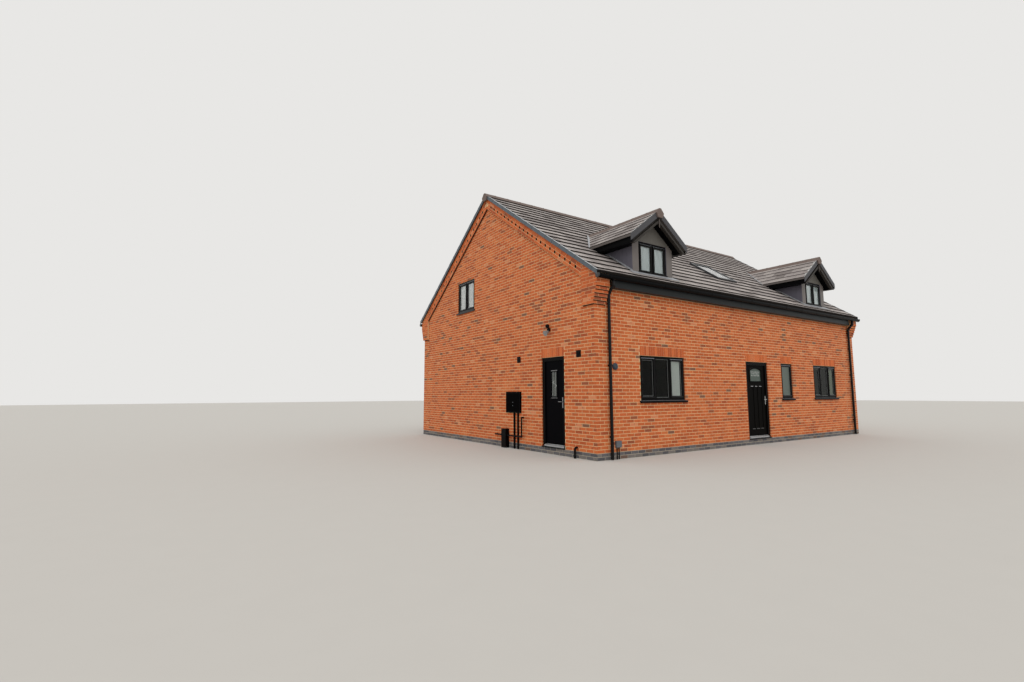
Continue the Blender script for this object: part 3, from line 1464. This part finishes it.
@dataclass
class Dormer:
    """One dormer's finishes, tiles, flashings, cheek boards, window and blind."""

    number: int
    x: float
    apex: float = 5.765
    pitch: float = math.radians(37)
    half: float = 0.71
    tip: float = 1.0
    y: float = 0.12
    face: float = -0.112
    roof_v: float = 0.12 / math.cos(pitch)
    soffit: float = 4.8304
    sill: float = 4.237
    head: float = 4.98
    win_w: float = 0.99
    rows: int = 5
    slat: float = 0.089
    slat_gap: float = 0.002
    foot: float = 0.024
    roll: Flat = (0.008, 0.014)
    roll_step: float = 0.12
    finial: Point = (0.04, 0.004, 0.22)
    plate: Flat = (0.156, 0.04)
    edge: float = 0.01
    skin: float = 0.003
    inset: float = 0.002
    ridge_clear: float = 0.02
    under_main: float = 0.03
    upstand: float = 0.05
    cheek_clear: Flat = (0.02, 0.04)
    apron_w: float = 0.12
    flashing_w: float = 0.045
    lining_w: float = 0.04
    lifts: Point = (0.0165, 0.017, 0.018)
    lining_lift: float = 0.024
    frame_y: Flat = (0.025, 0.095)
    sash_y: Point = (0.007, 0.0255, 0.06)
    pane_y: Flat = (0.033, 0.038)
    blind_y: Flat = (0.0395, 0.0415)
    board: Point = (0.02, 0.03, 0.012)

    @property
    def casement(self) -> Casement:
        """The window of two lights."""
        return Casement(self.win_w, self.head - self.sill, 2, (0, 1), self.foot)

    def top(self, x: float) -> float:
        """Height of the dormer's tile line at a distance from its middle."""
        return self.apex - math.tan(self.pitch) * abs(x)

    def opening(self) -> list[Flat]:
        """Hole in the main tiles.

        Returns:
            Its corners, as distances from the dormer's middle and from the front wall.
        """
        side = PLAN.valley_y(self.top(self.half) - self.roof_v)
        peak = PLAN.valley_y(self.apex - self.roof_v)
        half = self.half
        return [(-half, self.y), (half, self.y), (half, side), (0.0, peak), (-half, side)]

    def trim_part(self, at: Vector) -> int:
        """Picks the finish of a face of the dormer's trim.

        Args:
            at: Middle of the face, from the front left corner.

        Returns:
            2 for the finial, 1 for the plate over the barge boards, and 0 for the boards.
        """
        (half, out, down), x = self.finial, at.x - self.x
        if abs(x) < half and at.y < self.face - out and at.z < self.apex - down:
            return 2
        return int(self.top(x) - at.z < self.plate[0] and at.y < self.face + self.plate[1])

    def wall_part(self, at: Vector) -> int:
        """Gives 1 for the cheeks, 2 for the infill over the window, and 0 for the posts."""
        return 1 if at.y > self.y + self.edge else 2 if at.z > self.head + self.edge else 0

    def tiles(self) -> None:
        """Lays the tiles of both slopes back to the valleys."""
        made, cos, sin, low = Layer(), math.cos(self.pitch), math.sin(self.pitch), self.face + self.inset
        gauge = (self.tip / cos - self.ridge_clear) / self.rows
        for side in (-1, 1):
            for k in range(self.rows):
                x, z = self.tip - k * gauge * cos, self.top(self.tip) + k * gauge * sin
                end = PLAN.valley_y(z + gauge * sin) + self.under_main
                at = low - (PLAN.tile_w / 2 if k % 2 else 0.0)
                while at < end:
                    a, b = max(at, low), min(at + PLAN.tile_w - PLAN.tile_gap, end)
                    if b - a > PLAN.least_tile:
                        made.put((self.x + side * x, (a + b) / 2, z), (self.pitch, 0.0, side * math.pi / 2),
                                 (b - a, gauge, 1.0))
                    at += PLAN.tile_w
        tile = Roofing(head=0.001, base=-0.004).tile()
        REPEATER.lay(f"dormer_{self.number}_tiles", tile, made, TILE_UNIT, 70 + self.number)

    def flashings(self) -> None:
        """Builds the lead apron, the side flashings and the valley linings."""
        made, half, edge, y0 = Shape(), self.half, self.half + self.apron_w, self.y
        up, (eaves, low, high), valley = Vector((0.0, -PLAN.sin, PLAN.cos)), self.lifts, self.lining_lift

        def on_roof(x: float, y: float, lift: float) -> Vector:
            """Point above the main tiles, at a distance from the dormer's middle."""
            return Vector((self.x + x, y, PLAN.eaves_z + PLAN.tan * y)) + up * lift

        made.sheet([on_roof(-edge, 0.0, eaves), on_roof(edge, 0.0, eaves), on_roof(edge, y0, high),
                    on_roof(-edge, y0, high)])
        foot, sill = PLAN.roof_z(y0) + self.edge, self.sill - self.inset
        made.sheet([Vector((self.x + x, y0 - self.skin, z))
                    for x, z in ((-half, foot), (half, foot), (half, sill), (-half, sill))])
        end = PLAN.valley_y(self.soffit) + 0.02
        low_y, top_y = PLAN.valley_y(self.top(self.tip)) - 0.05, PLAN.valley_y(self.apex)
        for side in (-1, 1):
            near, far, lining = side * half, side * (half + self.flashing_w), side * self.lining_w
            made.sheet([on_roof(near, y0, high), on_roof(far, y0, low), on_roof(far, end, low),
                        on_roof(near, end, high)], side < 0)
            x = self.x + side * (half + self.skin)
            made.sheet([Vector((x, y, PLAN.roof_z(y) + lift))
                        for y, lift in ((y0, 0.0), (end, 0.0), (end, self.upstand), (y0, self.upstand))],
                       side < 0)
            made.sheet([on_roof(side * self.tip, low_y, valley), on_roof(0.0, top_y, valley),
                        on_roof(lining, top_y + self.lining_w, high),
                        on_roof(side * self.tip + lining, low_y + self.lining_w, high)], side > 0)
        made.piece(f"dormer_{self.number}_lead", LEAD, "dormer_cladding")

    def cheeks(self) -> None:
        """Lays the upright rolls of the cheek cladding, each as tall as the cheek there."""
        made, end, (clear, short) = Layer(), PLAN.valley_y(self.soffit), self.cheek_clear
        ring = [(0.5 * math.cos(a), 0.5 * math.sin(a)) for a in np.linspace(0, 2 * math.pi, 9)[:-1]]
        roll = Shape().loft([[(x, y, z) for x, y in ring] for z in (0.0, 1.0)], True)
        for side in (-1, 1):
            y = self.y + self.roll_step / 2
            while y < end - short:
                low = PLAN.roof_z(y) + clear
                made.put((self.x + side * (self.half + self.skin), y, low),
                         size=(*self.roll, self.soffit - low))
                y += self.roll_step
        name = f"dormer_{self.number}_cheek_rolls"
        REPEATER.lay(name, roll, made, CHEEK, 80 + self.number)

    def window(self) -> None:
        """Makes the window with a slim foot, its panes, and the pale slats of the blind behind them."""
        made, panes, blind, window = Shape(), Shape(), Shape(), self.casement
        w, half, lap = PLAN.frame_w, PLAN.mullion_w / 2, window.sash_lap
        (y0, y1), (front, joint, inner), (p0, p1), (b0, b1) = (
            [self.y + y for y in row] for row in (self.frame_y, self.sash_y, self.pane_y, self.blind_y))
        x0, z0, z1, (over, out, thick) = self.x - self.win_w / 2, self.sill, self.head, self.board
        low, high = z0 + self.foot, z1 - w
        made.bars((x0, y0, z0), (x0 + self.win_w, y1, z1), (w, w), (self.foot, w))
        made.box((self.x - half, y0, low), (self.x + half, y1, high))
        made.box((x0 - over, self.y - out, z0), (x0 + self.win_w + over, y0, z0 + thick))
        for left, right, inset in window.lights():
            a, b, outer = x0 + left, x0 + right, inset + lap
            made.bars((a - outer, front, low - lap), (b + outer, joint, high + lap), (outer,) * 2,
                      (outer,) * 2)
            made.bars((a - inset, joint, low), (b + inset, inner, high), (inset,) * 2, (inset,) * 2)
            panes.box((a, p0, low + inset), (b, p1, high - inset))
            for k in range(math.ceil((b - a) / self.slat)):
                end = min(a + (k + 1) * self.slat - self.slat_gap, b)
                blind.box((a + k * self.slat, b0, low + inset), (end, b1, high - inset))
        name = f"dormer_{self.number}_"
        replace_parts(made.piece(name + "window_frame", FRAME, "black_frame"), name + "window")
        panes.piece(name + "panes", CLEAR, "glass")
        blind.piece(name + "blind", SCREEN, "black_frame")

    def build(self) -> None:
        """Builds all pieces of the dormer."""
        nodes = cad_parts
        dress_faces(nodes[f"dormer_{self.number}_trim"].data, (PLATE, FINIAL), self.trim_part)
        dress_faces(nodes[f"dormer_{self.number}_walls"].data, (CHEEK, INFILL), self.wall_part)
        self.tiles()
        self.flashings()
        self.cheeks()
        self.window()


DORMERS = [Dormer(1, 0.17 * PLAN.length), Dormer(2, 0.813 * PLAN.length)]


# Rainwater goods, glazing, doors and fittings


@dataclass
class Rainwater:
    """Brackets under the gutters, caps on their ends, and joint covers on the fascias."""

    top: float = 3.915
    out: float = 0.206
    half: float = 0.056
    drop: float = 0.029
    strap: float = 0.0035
    strap_half: float = 0.014
    rim: float = 0.004
    rest: float = 0.001
    bend: float = 0.2
    brackets: int = 14
    from_end: float = 0.25
    covers: Flat = (5.29, 6.95)
    cover_half: float = 0.03
    cover_z: Flat = (0.001, 0.28)
    cover_out: Flat = (0.149, 0.1525)
    cap_half: float = 0.059
    dome: tuple[Flat, ...] = ((-0.02, 1.0), (0.002, 1.0), (0.007, 0.86))
    dome_mid: float = 0.04

    def bracket(self) -> Shape:
        """Strap round the gutter, its own y along the gutter.

        Returns:
            The strap.
        """
        wide, drop = self.half + self.strap, self.drop
        outer = [(-wide, self.rim), (-wide, -drop)]
        outer += [(-wide * math.cos(a), -drop - wide * math.sin(a))
                  for a in np.linspace(self.bend, math.pi - self.bend, 9)]
        outer += [(wide, -drop), (wide, self.rim)]
        inner = [((self.half - self.rest) / wide * x, z if z > 0 else z + self.strap + self.rest)
                 for x, z in outer[::-1]]
        return Shape().prism(outer + inner, -self.strap_half, self.strap_half, folded=True)

    def caps(self) -> None:
        """Adds a domed cap to each end of both gutters."""
        low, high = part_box("gutters")
        half, made = self.cap_half, Shape()
        ring = [(half, self.rim), *((half * math.cos(a), -self.drop - half * math.sin(a))
                                    for a in np.linspace(0, math.pi, 11)), (-half, self.rim)]
        for y0 in (-self.out, PLAN.depth + self.out):
            for x, away in ((low[0] - ORIGIN.x, -1), (high[0] - ORIGIN.x, 1)):
                made.loft([[(x + away * u, y0 + k * y, self.top - self.dome_mid + k * (z + self.dome_mid))
                            for y, z in ring] for u, k in self.dome])
        finished(outwards(made.mesh("gutter_ends", HOME)), "gutter_ends", END_CAP)

    def build(self) -> None:
        """Lays the brackets and covers on both long sides."""
        made, covers, p = Layer(), Shape(), PLAN
        for back in (False, True):
            for k in range(self.brackets):
                x = self.from_end + k * (p.length - 2 * self.from_end) / (self.brackets - 1)
                made.put(p.mirrored(x, -self.out, self.top, False, back),
                         (0.0, 0.0, -math.pi / 2 if back else math.pi / 2))
        REPEATER.lay("gutter_brackets", self.bracket(), made, GUTTER, 91)
        near, far = self.cover_out
        for x in self.covers:
            for y0, y1 in ((-far, -near), (p.depth + near, p.depth + far)):
                covers.box((x - self.cover_half, y0, p.soffit_z + self.cover_z[0]),
                           (x + self.cover_half, y1, p.soffit_z + self.cover_z[1]))
        covers.piece("fascia_covers", FASCIA, "eaves_plastic")


@dataclass
class Glazing:
    """Spacer bars, sash bevels, blinds and curtains of the windows, and the finishes of their panes."""

    bar: float = 0.006
    bar_t: float = 0.003
    bar_y: float = 0.0398
    edge: float = 0.001
    sash_y: float = 0.017
    bevel: float = 0.009
    dormer_shift: float = -0.01
    slat: float = 0.089
    slat_gap: float = 0.002
    blinds_x: Flat = (0.071, 0.074)
    folds: int = 28
    fold: float = 0.012
    curtain_y: float = 0.085
    curtain_x: Flat = (0.067, 0.075)
    cloth: float = 0.002
    tuck: float = 0.02
    clear_from: float = 0.26
    soft_from: float = 0.24

    def spacers(self, window: Casement) -> Shape:
        """Spacer bars of one window, in its own frame.

        Args:
            window: The window.

        Returns:
            The bars.
        """
        made, both = Shape(), (self.bar, self.bar)
        for left, right, inset in window.lights():
            low = (left + self.edge, self.bar_y, window.foot + inset + self.edge)
            high = (right - self.edge, self.bar_y + self.bar_t,
                    window.height - PLAN.frame_w - inset - self.edge)
            made.bars(low, high, both, both, False)
        return made

    def bevels(self, window: Casement) -> Shape:
        """Bevelled fronts of the sashes of one window, in its own frame.

        Args:
            window: The window.

        Returns:
            A closed band for each sash.
        """
        made, b = Shape(), self.bevel
        for left, right, inset in window.lights():
            if not inset:
                continue
            lap = inset + window.sash_lap
            low, high = window.foot - window.sash_lap, window.height - PLAN.frame_w + window.sash_lap
            points = []
            for off, out in ((0.0, 0.0), (b, b), (lap - 3 * b, b), (lap - b, 0.0)):
                x0, x1, z0, z1 = left - lap + off, right + lap - off, low + off, high - off
                points += [(x, self.sash_y - out, z) for x, z in ((x0, z0), (x1, z0), (x1, z1), (x0, z1))]
            made.add(points, [(r + k, r + (k + 1) % 4, (r + 4) % 16 + (k + 1) % 4, (r + 4) % 16 + k)
                              for r in range(0, 16, 4) for k in range(4)])
        return made

    def placed(self) -> list[tuple[Casement, Matrix]]:
        """Finds every window with its place.

        Returns:
            The windows, each with the matrix from its own frame to the front left corner's.
        """
        p, move, turn = PLAN, Matrix.Translation, math.pi / 2
        found = []
        for narrow_x, y, way in ((p.narrow_x, 0, 1), (p.door_x, p.depth, -1)):
            for x, w, count, openers in (
                    (p.wide_x, p.wide_w, 3, (0, 2)), (p.corner_x, p.corner_w, 3, (0, 2)),
                    (narrow_x, p.narrow_w, 1, (0,))):
                found.append((Casement(w, p.head_z - p.sill_z, count, openers),
                              move((x - w / 2, y, p.sill_z)) @ Matrix.Scale(way, 4, (0, 1, 0))))
        for x, way in ((0, -1), (p.length, 1)):
            found.append((Casement(p.gable_win_w, p.gable_win_h, 2, (0, 1)),
                          move((x, p.gable_win_y - way * p.gable_win_w / 2, p.gable_win_z))
                          @ Matrix.Rotation(way * turn, 4, "Z")))
        for dormer in DORMERS:
            place = (dormer.x - dormer.win_w / 2, dormer.y + self.dormer_shift, dormer.sill)
            found.append((dormer.casement, move(place)))
        return found

    def blinds(self) -> None:
        """Hangs the slats of the blinds behind both gable windows."""
        p, made = PLAN, Shape()
        low, high = (p.gable_win_y + way * (p.gable_win_w / 2 - p.frame_w) for way in (-1, 1))
        z0, z1 = p.gable_win_z + p.sill_h + p.frame_w, p.gable_win_z + p.gable_win_h - p.frame_w
        for x in (self.blinds_x[0], p.length - self.blinds_x[1]):
            for k in range(math.ceil((high - low) / self.slat)):
                y = low + k * self.slat
                end = min(y + self.slat - self.slat_gap, high)
                made.box((x, y + self.slat_gap / 2, z0), (x + self.cloth, end, z1))
        made.piece("gable_blinds", BLIND, "black_frame")

    def curtains(self) -> None:
        """Hangs a pleated curtain behind the right light of both wide front windows."""
        p = PLAN
        heights = (p.sill_z + p.sill_h + p.frame_w - self.tuck, p.head_z - p.frame_w + self.tuck)
        for name, middle, width in (("curtain_left", p.wide_x, p.wide_w),
                                    ("curtain_right", p.corner_x, p.corner_w)):
            left, right, _ = Casement(width, 1.0, 3, (0, 2)).lights()[2]
            x0, x1 = (middle - width / 2 + end + shift for end, shift in zip((left, right), self.curtain_x))
            wave = [(x0 + (x1 - x0) * k / self.folds, self.curtain_y + self.fold * (k % 2))
                    for k in range(self.folds + 1)]
            ring = wave + [(x, y + self.cloth) for x, y in wave[::-1]]
            made = Shape().loft([[(x, y, z) for x, y in ring] for z in heights], True, folded=True)
            made.piece(name, CURTAIN, "black_frame")

    def pane_kind(self, at: Vector) -> int:
        """Picks the glass of a pane: clear upstairs and before the left curtain, and others at the front.

        Args:
            at: Middle of the pane's face, from the front left corner.

        Returns:
            1 for clear glass, 2 for soft, 3 for obscured, and 0 for the dark glass of the rest.
        """
        p, front = PLAN, at.y < 1.0
        if at.z > p.soffit_z or (front and self.clear_from < at.x - p.wide_x < p.wide_w):
            return 1
        if front and at.x > p.corner_x + self.soft_from:
            return 2
        return 3 if front and abs(at.x - p.narrow_x) < p.narrow_w else 0

    def build(self) -> None:
        """Dresses every window."""
        for name, part, finish in (("spacer_bars", self.spacers, SILVER),
                                   ("sash_bevels", self.bevels, BEVEL)):
            made = Shape()
            for window, matrix in self.placed():
                shape, step = part(window), -1 if matrix.determinant() < 0 else 1
                made.add([matrix @ Vector(q) for q in shape.points], [f[::step] for f in shape.faces])
            made.piece(name, finish, "black_frame")
        self.blinds()
        self.curtains()
        dress_faces(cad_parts["window_glass"].data, (CLEAR, SOFT, OBSCURE), self.pane_kind)


@dataclass
class Doors:
    """Ledges, glass studs and leaded lines on the two door leaves."""

    face: float = 0.051
    glass: float = 0.061
    panel_w: float = 0.145
    ledge_w: float = 0.1
    panel_step: float = 0.205
    panel_z: Flat = (0.428, 1.57)
    ledge: Flat = (0.012, 0.018)
    ledge_lip: float = 0.003
    stud: float = 0.03
    stud_out: float = 0.004
    stud_z: Point = (1.975, 1.925, 1.875)
    studs: int = 6
    stud_step: float = 0.072
    seat: float = 0.0005
    slot_w: float = 0.183
    slot_z: Flat = (1.33, 1.906)
    rim: float = 0.02
    lead: float = 0.0055
    lead_out: float = 0.003
    curl_steps: int = 10
    curl_h: float = 0.16

    def wedge(self, shape: Shape, x0: float, x1: float, z: float) -> None:
        """Adds a ledge with a sloping top on the face of a leaf seen from the front.

        Args:
            shape: Takes the ledge.
            x0: Its left end.
            x1: Its right end.
            z: Height of its foot.
        """
        out, rise = self.ledge
        profile = [(self.face, z), (self.face - out, z), (self.face - out, z + self.ledge_lip),
                   (self.face, z + rise)]
        shape.loft([[(x, y, h) for y, h in profile] for x in (x0, x1)])

    def front(self) -> None:
        """Adds the ledges over the sunk panels, the beads at their feet and the studs on the glass."""
        for name, finish, width, z in (
                ("front_door_ledges", GLINT, self.ledge_w, self.panel_z[1]),
                ("front_door_beads", BEAD, self.panel_w, self.panel_z[0] - self.ledge[1])):
            made = Shape()
            for k in (-1, 0, 1):
                x = PLAN.door_x + k * self.panel_step
                self.wedge(made, x - width / 2, x + width / 2, z)
            made.piece(name, finish, "black_frame", Body.FRONT_DOOR)
        half, layer = self.stud / 2, Layer()
        unit = Shape().add(
            [(-half, 0, 0), (0, 0, -half), (half, 0, 0), (0, 0, half), (0, -self.stud_out, 0)],
            [(0, 1, 4), (1, 2, 4), (2, 3, 4), (3, 0, 4), (3, 2, 1, 0)])
        for row, z in enumerate(self.stud_z):
            count = self.studs - row % 2
            for k in range(count):
                layer.put((PLAN.door_x + (k - (count - 1) / 2) * self.stud_step, self.glass - self.seat, z))
        REPEATER.lay("front_door_studs", unit, layer, STUD, 95, body=Body.FRONT_DOOR)

    def side(self) -> None:
        """Adds the ledges above and below the side door's light, and the leaded lines on its glass."""
        ledges, lines, half, lead = Shape(), Shape(), self.slot_w / 2, self.lead
        low, high = self.slot_z
        for z in (high + self.rim, low - self.rim - self.ledge[1]):
            self.wedge(ledges, -half - self.rim, half + self.rim, z)
        y0, y1 = self.glass - self.lead_out, self.glass - self.seat
        for x in (-half / 3, half / 3, lead - half, half - lead):
            lines.box((x - lead / 2, y0, low), (x + lead / 2, y1, high))
        curl = [(0.7 * half * math.sin(2 * math.pi * t), (low + high) / 2 + self.curl_h * (t - 0.5))
                for t in (k / self.curl_steps for k in range(self.curl_steps + 1))]
        for (xa, za), (xb, zb) in zip(curl, curl[1:]):
            lines.prism([(xa - lead, za), (xa + lead, za), (xb + lead, zb), (xb - lead, zb)],
                        y0 - self.seat, y1)
        turn = Matrix.Translation(PLAN.place(0, PLAN.side_door_y, 0)) @ Matrix.Rotation(-math.pi / 2, 4, "Z")
        ledges.piece("side_door_ledges", GLINT, "black_frame", Body.SIDE_DOOR, turn)
        lines.piece("side_door_leading", LEADING, "glass", Body.SIDE_DOOR, turn)

    def build(self) -> None:
        """Builds the pieces of both doors."""
        self.front()
        self.side()


@dataclass
class Fittings:
    """Seams and locks of the meter box, and the small fittings with their bent pipe."""

    meter_y: Flat = (2.754, 3.386)
    meter_z: Flat = (0.93, 1.425)
    meter_out: float = 0.04
    seam: float = 0.005
    seam_out: float = 0.0015
    lock_z: Flat = (1.175, 1.09)
    lock_r: float = 0.013
    lock_out: float = 0.0045
    corners: int = 12
    block_y: Flat = (0.6, 0.96)
    block_z: Flat = (0.15, 0.24)
    elbow_at: Flat = (0.62, 0.228)
    elbow_out: float = 0.07
    elbow_r: float = 0.025
    elbow_bend: float = 0.0375
    weld: float = 0.00002
    lamp_z: Flat = (2.7, 2.89)
    lamp_out: float = 0.033
    sounder_z: Flat = (1.85, 2.1)
    box_z: Flat = (0.249, 0.4)

    def circle(self) -> list[Flat]:
        """Corners of a circle with a radius of one metre."""
        return [(math.cos(k * math.tau / self.corners), math.sin(k * math.tau / self.corners))
                for k in range(self.corners)]

    def meter(self) -> None:
        """Adds the seam round the meter door and its two locks."""
        seams, locks, out, s = Shape(), Shape(), self.meter_out, self.seam
        (y0, y1), (z0, z1) = self.meter_y, self.meter_z
        for a, b, c, d in ((y0, y1, z0, z0 + s), (y0, y1, z1 - s, z1), (y0, y0 + s, z0 + s, z1 - s),
                           (y1 - s, y1, z0 + s, z1 - s)):
            seams.box((-out - self.seam_out, a, c), (-out, b, d))
        seams.piece("meter_seams", SEAM, "meter_plastic")
        for z in self.lock_z:
            locks.loft([[(x, (y0 + y1) / 2 + r * c, z + r * s) for c, s in self.circle()]
                        for x, r in ((-out, self.lock_r), (-out - self.lock_out, 0.8 * self.lock_r))])
        locks.piece("meter_locks", CABLE_BOX, "meter_plastic")

    def elbow(self) -> Mesh:
        """Bends a pipe out of the left wall and down into the ground beside the side door.

        Returns:
            Its mesh in the row frame.
        """
        (y, z), out, r, bend = self.elbow_at, self.elbow_out, self.elbow_r, self.elbow_bend
        arc = [(bend - out - bend * math.sin(a), z - bend * (1 - math.cos(a)), a)
               for a in (math.radians(turn) for turn in (0, 30, 60, 90))]
        rings = [[(x - r * c * math.sin(a), y + r * s, h + r * c * math.cos(a)) for c, s in self.circle()]
                 for x, h, a in ((0.0, z, 0.0), *arc, (-out, 0.0, math.pi / 2))]
        return outwards(Shape().loft(rings).mesh("elbow", HOME))

    def kind(self, at: Vector) -> int:
        """Picks the finish of a face of the small fittings.

        Args:
            at: Middle of the face, from the front left corner.

        Returns:
            1 for the lamp head, 2 for the sounder, 3 for the cable box, and 0 for the rest.
        """
        lamp, sounder, box = (low < at.z < high for low, high in (self.lamp_z, self.sounder_z, self.box_z))
        if lamp and at.x < -self.lamp_out:
            return 1
        return 0 if at.y >= 0.0 else 2 if sounder else 3 if box else 0

    def small(self) -> None:
        """Copies the small fittings, with a bent pipe instead of the low block."""
        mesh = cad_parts["wall_fittings"].data.copy()
        with edited(mesh) as work:
            places = [(face, face.calc_center_median() - ORIGIN) for face in work.faces]
            block = [face for face, (x, y, z) in places if x < 0.01 and self.block_y[0] < y < self.block_y[1]
                     and self.block_z[0] < z < self.block_z[1]]
            bmesh.ops.delete(work, geom=block, context="FACES")
            bmesh.ops.remove_doubles(work, verts=work.verts, dist=self.weld)
            work.from_mesh(self.elbow())
        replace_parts(finished(mesh, "small_fittings", FITTING), "wall_fittings")
        dress_faces(mesh, (LAMP, SOUNDER, CABLE_BOX), self.kind)

    def build(self) -> None:
        """Builds and dresses the meter's details, the ends of the gutters and the small fittings."""
        self.meter()
        Rainwater().caps()
        self.small()


# Studio


@dataclass
class Studio:
    """Camera, floor, backdrop and lamps."""

    focal_px: float = 497.7
    image_w: int = 1024
    sensor: float = 36.0
    yaw: float = 0.590958
    pitch: float = 0.105896
    roll: float = -0.003758
    eye: Point = (-7.29971, -7.72776, 1.39310)
    far: float = 500.0
    half_floor: float = 90.0
    floor_colour: Colour = srgb(190, 187, 182)
    sky: Colour = (1.0, 0.99, 0.965)
    sky_level: float = 0.85
    backdrop: Colour = srgb(232, 231, 229)
    lamps: tuple[tuple[str, float, int, int, int], ...] = (
        ("key", 0.86, 50, -42, 60), ("fill", 0.25, 60, 70, 90))

    def camera(self) -> None:
        """Sets the camera at the photograph's place."""
        data = bpy.data.cameras.new("camera")
        data.sensor_width = self.sensor
        data.lens = self.focal_px / self.image_w * self.sensor
        data.clip_end = self.far
        cos, sin, flat = math.cos(self.yaw), math.sin(self.yaw), math.cos(self.pitch)
        ahead, right = Vector((sin * flat, cos * flat, math.sin(self.pitch))), Vector((cos, -sin, 0.0))
        turned = Matrix((right, right.cross(ahead), -ahead)).transposed().to_4x4()
        made = linked("camera", data)
        made.matrix_world = (Matrix.Translation(PLAN.place(*self.eye)) @ turned
                             @ Matrix.Rotation(self.roll, 4, "Z"))
        bpy.context.scene.camera = made

    def floor(self) -> None:
        """Lays a pale floor as far as the backdrop."""
        ring = [(x * self.half_floor, y * self.half_floor, 0) for x, y in CORNERS]
        mesh, g = Shape().add(ring, [(0, 1, 2, 3)]).mesh("floor"), Graph("studio_floor")
        colour = g.tint(self.floor_colour, 0.015, g.noise(g.place(), 3.0, 4.0))
        mesh.materials.append(g.finish(colour, 0.9, Specular_IOR_Level=0.1))
        linked("floor", mesh)

    def lights(self) -> None:
        """Sets an even pale sky, one soft key lamp from the front left and a weak fill lamp."""
        world = bpy.data.worlds.new("studio")
        bpy.context.scene.world = world
        world.use_nodes = True
        tree = world.node_tree
        sky = tree.nodes["Background"]
        feed(tree, sky.inputs[0], self.sky)
        feed(tree, sky.inputs[1], self.sky_level)
        shown = add_node(tree, "ShaderNodeBackground", {0: self.backdrop})
        rays = add_node(tree, "ShaderNodeLightPath").outputs
        seen = rays["Is Camera Ray"]
        for name in ("Is Glossy Ray", "Is Transmission Ray"):
            seen = add_node(tree, "ShaderNodeMath", {0: seen, 1: rays[name]}, operation="MAXIMUM").outputs[0]
        both = add_node(tree, "ShaderNodeMixShader", {0: seen, 1: sky.outputs[0], 2: shown.outputs[0]})
        feed(tree, tree.nodes["World Output"].inputs[0], both.outputs[0])
        for name, energy, lift, azimuth, spread in self.lamps:
            lamp = bpy.data.lights.new(name, "SUN")
            lamp.energy = energy
            lamp.angle = math.radians(spread)
            up, turn = math.radians(lift), math.radians(azimuth)
            back = Vector((math.sin(turn) * math.cos(up), -math.cos(turn) * math.cos(up), math.sin(up)))
            linked(name, lamp).rotation_euler = back.to_track_quat("Z", "Y").to_euler()

    def build(self) -> None:
        """Sets up the studio."""
        self.camera()
        self.floor()
        self.lights()
        bpy.context.scene.view_settings.view_transform = "Standard"


def dress_nodes() -> None:
    """Gives every node of the frame its finish."""
    for name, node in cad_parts.items():
        endings = (finish for ending, finish in DORMER_FINISH.items()
                   if name.startswith("dormer_") and name.endswith(ending))
        node.data.materials.clear()
        node.data.materials.append(NODE_FINISH.get(name, next(endings, BRICK)).material())


def main() -> None:
    """Builds the studio, dresses the frame and lays the pieces."""
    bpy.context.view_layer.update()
    Studio().build()
    dress_nodes()
    for part in (Masonry(), Roofing(), *DORMERS, Rainwater(), Glazing(), Doors(), Fittings()):
        part.build()
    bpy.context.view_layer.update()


if __name__ == "__main__":
    main()
